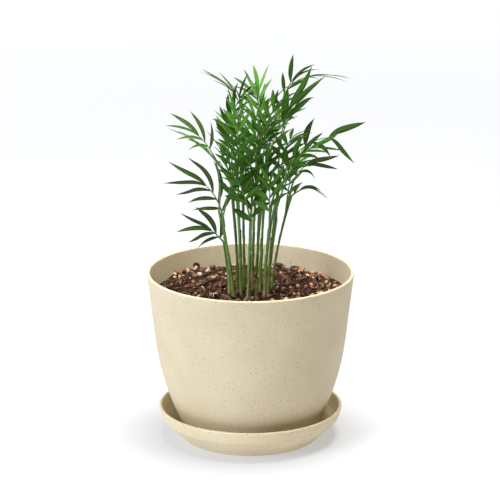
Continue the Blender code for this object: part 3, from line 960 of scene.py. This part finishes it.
# %% Stalk finish
def stalk_finish():
    finish = Finish("leaf_stalk", 0.45)
    marks = finish.marks()
    body = finish.ramp(marks["Y"], [(0.0, (0.09, 0.19, 0.035)), (1.0, (0.05, 0.15, 0.02))])
    streaks = finish.noise(900.0, 3.0)
    colour = finish.mix(finish.span(streaks, 0.45, 0.75, 0.0, 0.55), body, (0.20, 0.32, 0.09))
    ribs = finish.bump(streaks, 0.15 * MM, 0.5)
    return finish.done(colour, None, ribs)


leaf_stalk = stalk_finish()
print("finish:", leaf_stalk.name)

# %% [markdown]
# ## The stems
#
# A stem is a tapered tube with a slight swelling at each joint. Round it sit the bases of its
# leaves: thin split sleeves that hug the stem below and stand off in a point above. The lowest
# are drying to tan, the higher ones still green. A smooth cylinder with a striped finish would do
# from afar, but these sleeves make the outline of the clump's foot, so each is a thin closed shell.
# Each stem and its sleeves are one piece.

# %% Stem and sleeve shapes
BURIED = 14 * MM
JOINT_PITCH = 13 * MM
STEM_SIDES = 14
STEM_LEVELS = 64
JOINT_SWELLING = 0.10
STEM_FIT = 0.94
STEM_WAVE = 0.04
STEM_WAVE_PITCH = 6 * MM
SLEEVE_THICKNESS = 0.22 * MM
SLEEVE_ROWS = 12
SLEEVE_COLUMNS = 15
SLEEVE_SPREAD = 2.6
SLEEVE_CLEARANCE = 0.05 * MM
SLEEVE_SIDE_REACH = 0.55
SLEEVE_POINT_POWER = 0.7
SLEEVE_FLARE_POWER = 2.2


def stem_rings(stem, chance):
    heights = np.linspace(SOIL_EDGE_Z - BURIED + 0.5 * MM, stem.top_z * MM, STEM_LEVELS)
    angles = np.linspace(0.0, 2 * math.pi, STEM_SIDES, endpoint=False)
    phase = chance.uniform(0.0, JOINT_PITCH)
    rings = np.zeros((len(heights), STEM_SIDES, 3))
    for level, z in enumerate(heights):
        nearness = abs((z + phase) % JOINT_PITCH - JOINT_PITCH / 2) / (JOINT_PITCH / 2)
        swelling = 1.0 + JOINT_SWELLING * max(0.0, 1.0 - 3.0 * nearness)
        wave = STEM_FIT + STEM_WAVE * math.sin(z / STEM_WAVE_PITCH + phase)
        radius = stem_radius(stem, z) * swelling * wave
        centre = np.array(stem_point(stem, z))
        rings[level, :, 0] = centre[0] + radius * np.cos(angles)
        rings[level, :, 1] = centre[1] + radius * np.sin(angles)
        rings[level, :, 2] = z
    return rings


def sleeve(stem, low_z, length, facing, opening):
    """A split sleeve round the stem: closed below, open and pointed above."""
    sweep = np.linspace(-SLEEVE_SPREAD, SLEEVE_SPREAD, SLEEVE_COLUMNS)
    grid = np.zeros((SLEEVE_ROWS, 2 * SLEEVE_COLUMNS, 3))
    along = np.zeros((SLEEVE_ROWS, 2 * SLEEVE_COLUMNS))
    for row in range(SLEEVE_ROWS):
        share = row / (SLEEVE_ROWS - 1)
        for column, turn in enumerate(sweep):
            middle = math.cos(turn * math.pi / (2 * SLEEVE_SPREAD)) ** SLEEVE_POINT_POWER
            reach = SLEEVE_SIDE_REACH + (1 - SLEEVE_SIDE_REACH) * middle
            z = low_z + length * share * reach
            core = stem_radius(stem, z) + SLEEVE_CLEARANCE
            flare = opening * share**SLEEVE_FLARE_POWER * (0.5 + 0.5 * math.cos(turn))
            centre = stem_point(stem, z)
            angle = facing + turn * (1 - 0.25 * share)
            for index, offset in ((column, SLEEVE_THICKNESS), (2 * SLEEVE_COLUMNS - 1 - column, 0.0)):
                radius = core + flare + offset
                x = centre.x + radius * math.cos(angle)
                y = centre.y + radius * math.sin(angle)
                grid[row, index] = (x, y, z)
                along[row, index] = share
    return grid, along.ravel()


print("sleeve points:", SLEEVE_ROWS * 2 * SLEEVE_COLUMNS)

# %% Build the stems
STEM_SEED = 200
STEM_TINTS = (0.2, 1.0)
SLEEVE_LENGTHS = (13, 24)
LOWEST_SLEEVE_LONGER = 1.2
SLEEVE_TOP_GAP = 4 * MM
SLEEVE_OPENINGS = (0.1, 0.55)
SLEEVE_STEPS = (0.75, 1.25)
SLEEVE_TINT_SPREAD = 0.28
SLEEVE_DRYNESS = (0.48, 0.12, 0.0, 0.0)  # of each sleeve, from the lowest up
for number, stem in enumerate(STEMS, start=1):
    chance = np.random.default_rng(STEM_SEED + number)
    shoot = Batch()
    rings = stem_rings(stem, chance)
    along = np.repeat(np.linspace(0.0, 1.0, len(rings)), STEM_SIDES)
    shoot.add(*tube(rings), finish=0, tint=chance.uniform(*STEM_TINTS), along=along)
    low_z = SOIL_EDGE_Z + chance.uniform(-1, 3) * MM
    for level, dryness in enumerate(SLEEVE_DRYNESS):
        length = chance.uniform(*SLEEVE_LENGTHS) * MM * (1.0 if level else LOWEST_SLEEVE_LONGER)
        if low_z + length > stem.top_z * MM - SLEEVE_TOP_GAP:
            break
        facing = chance.uniform(0.0, 2 * math.pi)
        tint = dryness + chance.uniform(0.0, SLEEVE_TINT_SPREAD)
        opening = chance.uniform(*SLEEVE_OPENINGS) * MM
        grid, sleeve_along = sleeve(stem, low_z, length, facing, opening)
        shoot.add(*tube(grid), finish=1, tint=tint, along=sleeve_along)
        low_z += length * chance.uniform(*SLEEVE_STEPS)
    shoot.piece(f"palm_stem_{number:02d}", [stem_skin, sheath_paper], [f"stem_{number:02d}"])
print("stems built:", len(STEMS))

# %% [markdown]
# ## The fronds
#
# A frond is a feather: a stalk that leaves the stem, a midline that bends over, and pairs of
# narrow leaflets that fan out along it. The frame's fronds are flat plates carried onto a curved
# sheet, and each was turned a little until it touched nothing. The same rules are repeated here,
# and each frond's own turn is found again as the first whose box is the frame's.
#
# A leaflet could be a flat card, but real ones are creased along the midrib, arch over and thin
# out to a point, and that crease is what catches the light. So each one is modelled as a thin
# closed blade, with its own small twist, and then carried onto the frond's sheet.

# %% Frond sizes
GAP = 0.3 * MM
LEAF_THICKNESS = 0.8 * MM
RACHIS_HALF = 0.8 * MM
LEAFLET_BASE_HALF = 0.9 * MM
LEAFLET_WIDEST = 0.42
LEAFLET_DROOP = 0.10
LOWEST_LENGTH = 0.72
BEND_POWER = 1.6
BEND_STEPS = 96
LEAFLET_REACH = 0.33
VEE = 0.28
ARCH = 9.0
GOLDEN_ANGLE = math.radians(137.508)
MOST_TURNS = 2000
TURN_STEP = 1.5
RISE_SHARE = 0.6
ROLL_SHARE = 0.9
STAGGER_SHARE = 0.3
ROOM_SHARE = 0.8
print("leaflets are widest at a share of", LEAFLET_WIDEST, "along")

# %% Frond table
# Each frond: stem number, height where it leaves the stem (0 is the stem's top), azimuth,
# rise above level, bend over its length, petiole, rachis, pairs, leaflet length and width,
# roll, and the angles of the lowest and last leaflets off the midline. Lengths are in
# millimetres and angles in degrees.
Frond = namedtuple(
    "Frond", "stem height azimuth rise bend petiole rachis pairs leaflet width roll lowest last"
)
FROND_ROWS = [
    (11, 219, 358, 92, 104, 82, 24, 2, 41, 6.2, 76, 50, 34),
    (1, 198, 182, 50, 40, 5, 11, 3, 38, 4.8, 76, 50, 14),
    (1, 0, 180, 75, 62, 6, 30, 4, 46, 4.8, 72, 52, 13),
    (2, 0, 180, 96, 70, 62, 16, 3, 38, 4.2, 40, 50, 12),
    (11, 0, 0, 92, 40, 52, 14, 2, 53, 9.0, 74, 21, 8),
    (12, 0, 5, 78, 80, 17, 12, 2, 38, 6.2, 66, 50, 12),
    (12, 241, 350, 42, 70, 4, 12, 3, 28, 4.2, 22, 50, 16),
    (9, 0, 2, 80, 24, 50, 25, 3, 32, 4.6, 50, 50, 30),
    (5, 0, 180, 100, 62, 54, 16, 3, 42, 4.2, 12, 30, 7),
    (3, 0, 0, 102, 46, 48, 38, 5, 30, 4.8, 62, 46, 16),
    (10, 0, 356, 73, 62, 38, 30, 4, 33, 5.8, 64, 46, 18),
    (11, 252, 35, 97, 80, 56, 20, 2, 46, 6.0, 60, 36, 12),
    (9, 258, 150, 112, 70, 70, 14, 3, 36, 4.0, 10, 34, 10),
    (7, 272, 2, 92, 100, 90, 12, 2, 52, 4.0, 25, 40, 22),
    (4, 0, 95, 88, 30, 28, 34, 5, 30, 5.0, 20, 48, 16),
    (7, 0, 80, 88, 30, 27, 32, 4, 30, 4.6, 15, 50, 16),
    (6, 0, 262, 84, 50, 30, 40, 5, 34, 5.2, 10, 50, 18),
    (8, 0, 300, 86, 40, 32, 44, 5, 34, 5.2, 10, 50, 18),
    (3, 232, 235, 84, 40, 24, 34, 5, 28, 4.6, 20, 50, 16),
    (9, 256, 60, 76, 45, 24, 40, 5, 34, 4.8, 10, 50, 18),
    (5, 244, 110, 76, 45, 24, 36, 5, 32, 4.8, 10, 50, 18),
    (4, 226, 262, 84, 28, 16, 34, 4, 36, 7.0, 0, 46, 16),
    (10, 228, 330, 78, 42, 22, 34, 5, 30, 5.4, 20, 50, 18),
    (6, 208, 285, 82, 28, 16, 34, 4, 36, 7.0, 0, 46, 16),
    (8, 230, 300, 84, 28, 16, 36, 4, 36, 6.6, 10, 46, 16),
    (7, 250, 90, 78, 40, 26, 42, 5, 34, 4.8, 0, 50, 18),
    (7, 264, 330, 80, 45, 30, 40, 5, 34, 5.0, 30, 50, 18),
    (11, 232, 40, 68, 55, 26, 38, 5, 34, 5.0, 30, 50, 18),
    (4, 246, 130, 76, 45, 26, 38, 5, 32, 4.8, 10, 50, 18),
    (2, 224, 330, 84, 35, 30, 30, 4, 28, 4.8, 10, 50, 18),
    (6, 226, 225, 82, 32, 20, 36, 4, 34, 6.2, 10, 46, 16),
    (10, 216, 262, 84, 30, 18, 34, 4, 36, 6.6, 0, 46, 16),
    (5, 256, 20, 78, 45, 26, 38, 5, 34, 4.8, 20, 50, 18),
    (9, 268, 235, 84, 30, 26, 34, 4, 32, 4.8, 20, 46, 16),
    (3, 240, 100, 78, 50, 26, 34, 5, 30, 4.6, 0, 50, 18),
    (12, 222, 70, 74, 50, 20, 28, 4, 28, 4.6, 10, 50, 18),
    (8, 248, 170, 84, 30, 30, 30, 3, 30, 4.4, 40, 40, 14),
    (11, 250, 300, 74, 50, 24, 36, 5, 34, 5.2, 10, 50, 18),
]
FRONDS = [Frond(*row) for row in FROND_ROWS]
print("fronds:", len(FRONDS))

# %% Leaflets in the flat frond
def leaflet_places(frond):
    """Each leaflet's side, place along the midline, angle, length and width."""
    pitch = frond.rachis * MM / (frond.pairs - 1)
    fan = math.radians((frond.lowest - frond.last) / (frond.pairs - 1))
    for side in (1, -1):
        for k in range(frond.pairs):
            share = k / (frond.pairs - 1)
            angle = math.radians(frond.lowest + (frond.last - frond.lowest) * share)
            length = frond.leaflet * MM * (LOWEST_LENGTH + (1 - LOWEST_LENGTH) * share)
            room = pitch * math.sin(angle) + LEAFLET_WIDEST * length * fan
            stagger = STAGGER_SHARE * pitch if side < 0 and k < frond.pairs - 1 else 0.0
            base = frond.petiole * MM + pitch * k + stagger
            yield side, base, angle, length, min(frond.width * MM, ROOM_SHARE * room)


def leaflet_axes(side, angle):
    """Unit directions along a leaflet and across it, in the flat frond."""
    along = np.array([side * math.sin(angle), math.cos(angle)])
    forward = np.array([-side * math.cos(angle), math.sin(angle)])
    return along, forward


def plate_corners(petiole, places):
    """Corners of the frame's plate, from which its box follows."""
    corners = [(x, y) for y in (0.0, petiole / 2) for x in (RACHIS_HALF, -RACHIS_HALF)]
    for side, base, angle, length, width in places:
        along, forward = leaflet_axes(side, angle)
        root = np.array([side * RACHIS_HALF, base])
        middle = root + along * length * LEAFLET_WIDEST
        tip = root + along * length - np.array([0.0, LEAFLET_DROOP * length])
        step = np.array([0.0, LEAFLET_BASE_HALF])
        corners += [root - step, middle - forward * width / 2, tip, middle + forward * width / 2, root + step]
    flat = np.array(corners)
    half = np.full((len(flat), 1), LEAF_THICKNESS / 2)
    return np.concatenate([np.hstack([flat, half]), np.hstack([flat, -half])])


print("leaflets:", sum(2 * frond.pairs for frond in FRONDS))

# %% The curved sheet
def bent(flat, start, azimuth, rise, bend, reach, roll):
    """Flat points (x across, y along, z up) carried onto the frond's curved sheet."""
    steps = np.linspace(0.0, 2 * reach, BEND_STEPS)
    slope = np.radians(rise - bend * np.minimum(steps / reach, 1.0) ** BEND_POWER)
    pace = steps[1]
    outward = np.concatenate([[0.0], np.cumsum(np.cos(slope[:-1])) * pace])
    upward = np.concatenate([[0.0], np.cumsum(np.sin(slope[:-1])) * pace])
    x, along, z = flat.T
    out = np.interp(along, steps, outward)[:, None]
    up = np.interp(along, steps, upward)[:, None]
    tilt = np.interp(along, steps, slope)[:, None]
    heading = np.array([math.cos(math.radians(azimuth)), math.sin(math.radians(azimuth)), 0.0])
    level = np.array([heading[1], -heading[0], 0.0])
    top = np.array([0.0, 0.0, 1.0])
    normal = top * np.cos(tilt) - heading * np.sin(tilt)
    turn = math.radians(roll)
    across = level * math.cos(turn) + normal * math.sin(turn)
    upper = normal * math.cos(turn) - level * math.sin(turn)
    lift = z + VEE * np.abs(x) - ARCH * x**2
    return np.array(start) + heading * out + top * up + across * x[:, None] + upper * lift[:, None]


print("steps along a sheet:", BEND_STEPS)

# %% Where a frond starts, and how it may turn
def frond_start(stem, height, azimuth):
    """Where the petiole begins: just off the stem's side, or just above its top."""
    if height == 0:
        return stem_point(stem, stem.top_z * MM) + Vector((0.0, 0.0, 2 * GAP))
    z = height * MM
    heading = Vector((math.cos(math.radians(azimuth)), math.sin(math.radians(azimuth)), 0.0))
    return stem_point(stem, z) + heading * (stem_radius(stem, z) + 2 * GAP + RACHIS_HALF)


def frond_poses(azimuth, rise, roll):
    """The frond's own pose first, then turns that spiral away from it."""
    for attempt in range(MOST_TURNS):
        amount = TURN_STEP * math.sqrt(attempt)
        direction = attempt * GOLDEN_ANGLE
        yield (
            azimuth + amount * math.cos(direction),
            rise + RISE_SHARE * amount * math.sin(direction),
            roll + ROLL_SHARE * amount * math.sin(2 * direction),
        )


print("turns to try at most:", MOST_TURNS)

# %% Find each frond's pose again
BOX_MATCH = 0.02 * MM


def settled_pose(name, frond, reach, corners):
    """The first pose whose box is the frame's, or else the closest."""
    low, high = (np.array(corner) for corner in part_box(name))
    best = None
    for azimuth, rise, roll in frond_poses(frond.azimuth, frond.rise, frond.roll):
        start = frond_start(STEMS[frond.stem - 1], frond.height, azimuth)
        points = bent(corners, start, azimuth, rise, frond.bend, reach, roll)
        miss = max(np.abs(points.min(0) - low).max(), np.abs(points.max(0) - high).max())
        if best is None or miss < best[0]:
            best = (miss, start, azimuth, rise, roll)
        if miss < BOX_MATCH:
            break
    return best


settled = []
for number, frond in enumerate(FRONDS, start=1):
    places = list(leaflet_places(frond))
    corners = plate_corners(frond.petiole * MM, places)
    reach = (frond.petiole + frond.rachis + LEAFLET_REACH * frond.leaflet) * MM
    settled.append((places, reach, settled_pose(f"frond_{number:02d}", frond, reach, corners)))
print("largest miss in mm:", round(max(found[0] for _, _, found in settled) / MM, 4))

# %% Leaflet shape
STATIONS = 14
STATION_POWER = 0.9
LEAFLET_ROOT_SHARE = 0.3
BLADE_ACROSS = np.array([-1.0, -0.66, -0.3, 0.0, 0.3, 0.66, 1.0])
BLADE_THICKNESS = 0.32 * MM
CREASE = 0.30
PLEAT = 0.05
WIDTH_POWERS = (0.70, 1.05)
BROADEST = 8 * MM  # a leaflet this wide or wider is never narrowed
BLADE_NARROWING = 0.72
BLADE_TWIST = 0.7
BLADE_RISE = (-0.03, 0.08)
BLADE_DROOP = (0.0, 0.14)
BLADE_SWAY = 0.05
BLADE_FOOT_HALF = 0.55 * MM
BLADE_TIP_HALF = 0.05 * MM
TIP_THINNING = 0.6
THIN_BELOW_HALF = 0.6 * MM


def blade_width(share):
    """Width of a leaflet along its length, 1 at its widest: quick to widen, slow to a point."""
    rise_power, fall_power = WIDTH_POWERS
    peak = rise_power / (rise_power + fall_power)
    most = peak**rise_power * (1 - peak) ** fall_power
    return share**rise_power * (1 - share) ** fall_power / most


def leaflet_rings(side, base, angle, length, width, chance):
    """Rings of a creased blade in the flat frond, and its marks along and across."""
    along, forward = leaflet_axes(side, angle)
    root = np.array([side * LEAFLET_ROOT_SHARE * RACHIS_HALF, base])
    twist = side * chance.uniform(-BLADE_TWIST, BLADE_TWIST)
    if width < BROADEST:
        width *= chance.uniform(BLADE_NARROWING, 1.0)
    rise = chance.uniform(*BLADE_RISE)
    droop = chance.uniform(*BLADE_DROOP)
    sway = chance.uniform(-BLADE_SWAY, BLADE_SWAY)
    section = np.concatenate([BLADE_ACROSS, BLADE_ACROSS[-2:0:-1]])
    skin = np.concatenate([np.ones(len(BLADE_ACROSS)), -np.ones(len(BLADE_ACROSS) - 2)])
    skin[[0, len(BLADE_ACROSS) - 1]] = 0.0
    rings = np.zeros((STATIONS, len(section), 3))
    shares = np.linspace(0.0, 1.0, STATIONS) ** STATION_POWER
    for station, share in enumerate(shares):
        half = max(0.5 * width * blade_width(share), BLADE_FOOT_HALF * (1 - share) ** 0.5, BLADE_TIP_HALF)
        centre = root + along * length * share - np.array([0.0, LEAFLET_DROOP * length * share**2])
        centre = centre + forward * sway * length * math.sin(math.pi * share)
        pleats = PLEAT * np.cos(3 * math.pi * section)
        fold = half * (CREASE * np.abs(section) + pleats)
        turn = twist * share
        thinning = TIP_THINNING + (1 - TIP_THINNING) * (1 - share)
        thick = BLADE_THICKNESS * thinning * min(1.0, half / THIN_BELOW_HALF)
        sideways = half * section * math.cos(turn) - fold * math.sin(turn)
        lift = half * section * math.sin(turn) + fold * math.cos(turn)
        lift = lift + skin * thick / 2 + length * (rise * share - droop * share**2)
        rings[station, :, :2] = centre + forward * sideways[:, None]
        rings[station, :, 2] = lift
    marks_along = np.repeat(shares, len(section))
    marks_across = np.tile(section, STATIONS)
    return rings, marks_along, marks_across


print("points to a leaflet:", STATIONS * (2 * len(BLADE_ACROSS) - 2))

# %% Stalk shape
STALK_SIDES = 8
STALK_FOOT_RADIUS = 0.95 * MM
STALK_TIP_RADIUS = 0.38 * MM
TOP_STALK_DEPTH = 9
SIDE_STALK_DEPTH = 46
STALK_ABOVE_SOIL = 2 * MM
STALK_SUNK_SHARE = 0.6
STALK_LEAVE_POWER = 1.5


def stalk_rings(length):
    """Rings of the stalk and midline in the flat frond, flat against its sheet."""
    angles = np.linspace(0.0, 2 * math.pi, STALK_SIDES, endpoint=False)
    steps = np.linspace(0.0, length, max(10, int(length / (3 * MM))))
    rings = np.zeros((len(steps), STALK_SIDES, 3))
    for level, step in enumerate(steps):
        share = step / length
        radius = STALK_FOOT_RADIUS + (STALK_TIP_RADIUS - STALK_FOOT_RADIUS) * share
        x = radius * np.cos(angles)
        rings[level, :, 0] = x
        rings[level, :, 1] = step
        rings[level, :, 2] = radius * np.sin(angles) - VEE * np.abs(x) + ARCH * x**2
    return rings


def stalk_root(stem, height, start, azimuth):
    """The line of the stalk's base: down the stem's side, or into the stem's top."""
    if height == 0:
        heights = np.linspace((stem.top_z - TOP_STALK_DEPTH) * MM, stem.top_z * MM, 5)
        return [*(np.array(stem_point(stem, z)) for z in heights), np.array(start)]
    foot = max(SOIL_EDGE_Z + STALK_ABOVE_SOIL, (height - SIDE_STALK_DEPTH) * MM)
    heading = np.array([math.cos(math.radians(azimuth)), math.sin(math.radians(azimuth)), 0.0])
    line = []
    for z in np.linspace(foot, height * MM, 10):
        share = (z - foot) / (height * MM - foot)
        radius = stem_radius(stem, z)
        outside = radius * (1 - STALK_SUNK_SHARE) + 2 * GAP + RACHIS_HALF
        reach = radius * STALK_SUNK_SHARE + outside * share**STALK_LEAVE_POWER
        line.append(np.array(stem_point(stem, z)) + heading * reach)
    return line


print("sides to a stalk:", STALK_SIDES)

# %% Build the fronds
FROND_SEED = 700
OUTER_SHADES = (0.0, 0.25)
INNER_SHADES = (0.25, 0.9)
TOP_STALK_RADIUS = 1.25 * MM
SIDE_STALK_RADIUS = 0.8 * MM
LEAFLET_TINTS = (-0.2, 0.25)  # added to the frond's own shade
OUTER_FRONDS = (1, 2, 3, 4, 6, 7, 9, 13, 14)  # the outermost fronds, whose leaflets are coloured a darker olive
for number, frond in enumerate(FRONDS, start=1):
    places, reach, (_, start, azimuth, rise, roll) = settled[number - 1]
    chance = np.random.default_rng(FROND_SEED + number)
    shade = chance.uniform(*(OUTER_SHADES if number in OUTER_FRONDS else INNER_SHADES))
    leaf = Batch()
    for side, base, angle, length, width in places:
        rings, along, across = leaflet_rings(side, base, angle, length, width, chance)
        points = bent(rings.reshape(-1, 3), start, azimuth, rise, frond.bend, reach, roll)
        tint = np.clip(shade + chance.uniform(*LEAFLET_TINTS), 0.0, 1.0)
        leaf.add(*tube(points.reshape(rings.shape)), finish=0, tint=tint, along=along, across=across)
    rings = stalk_rings((frond.petiole + frond.rachis) * MM)
    points = bent(rings.reshape(-1, 3), start, azimuth, rise, frond.bend, reach, roll)
    along = np.repeat(np.linspace(0.0, 1.0, len(rings)), STALK_SIDES)
    leaf.add(*tube(points.reshape(rings.shape)), finish=1, tint=shade, along=along)
    root = stalk_root(STEMS[frond.stem - 1], frond.height, start, azimuth)
    root_radius = TOP_STALK_RADIUS if frond.height == 0 else SIDE_STALK_RADIUS
    thickness = np.linspace(root_radius, STALK_FOOT_RADIUS, len(root))
    leaf.add(*tube(rod(root, thickness)), finish=1, tint=shade)
    leaf.piece(f"palm_frond_{number:02d}", [leaf_blade, leaf_stalk], [f"frond_{number:02d}"])
print("fronds built:", len(FRONDS))
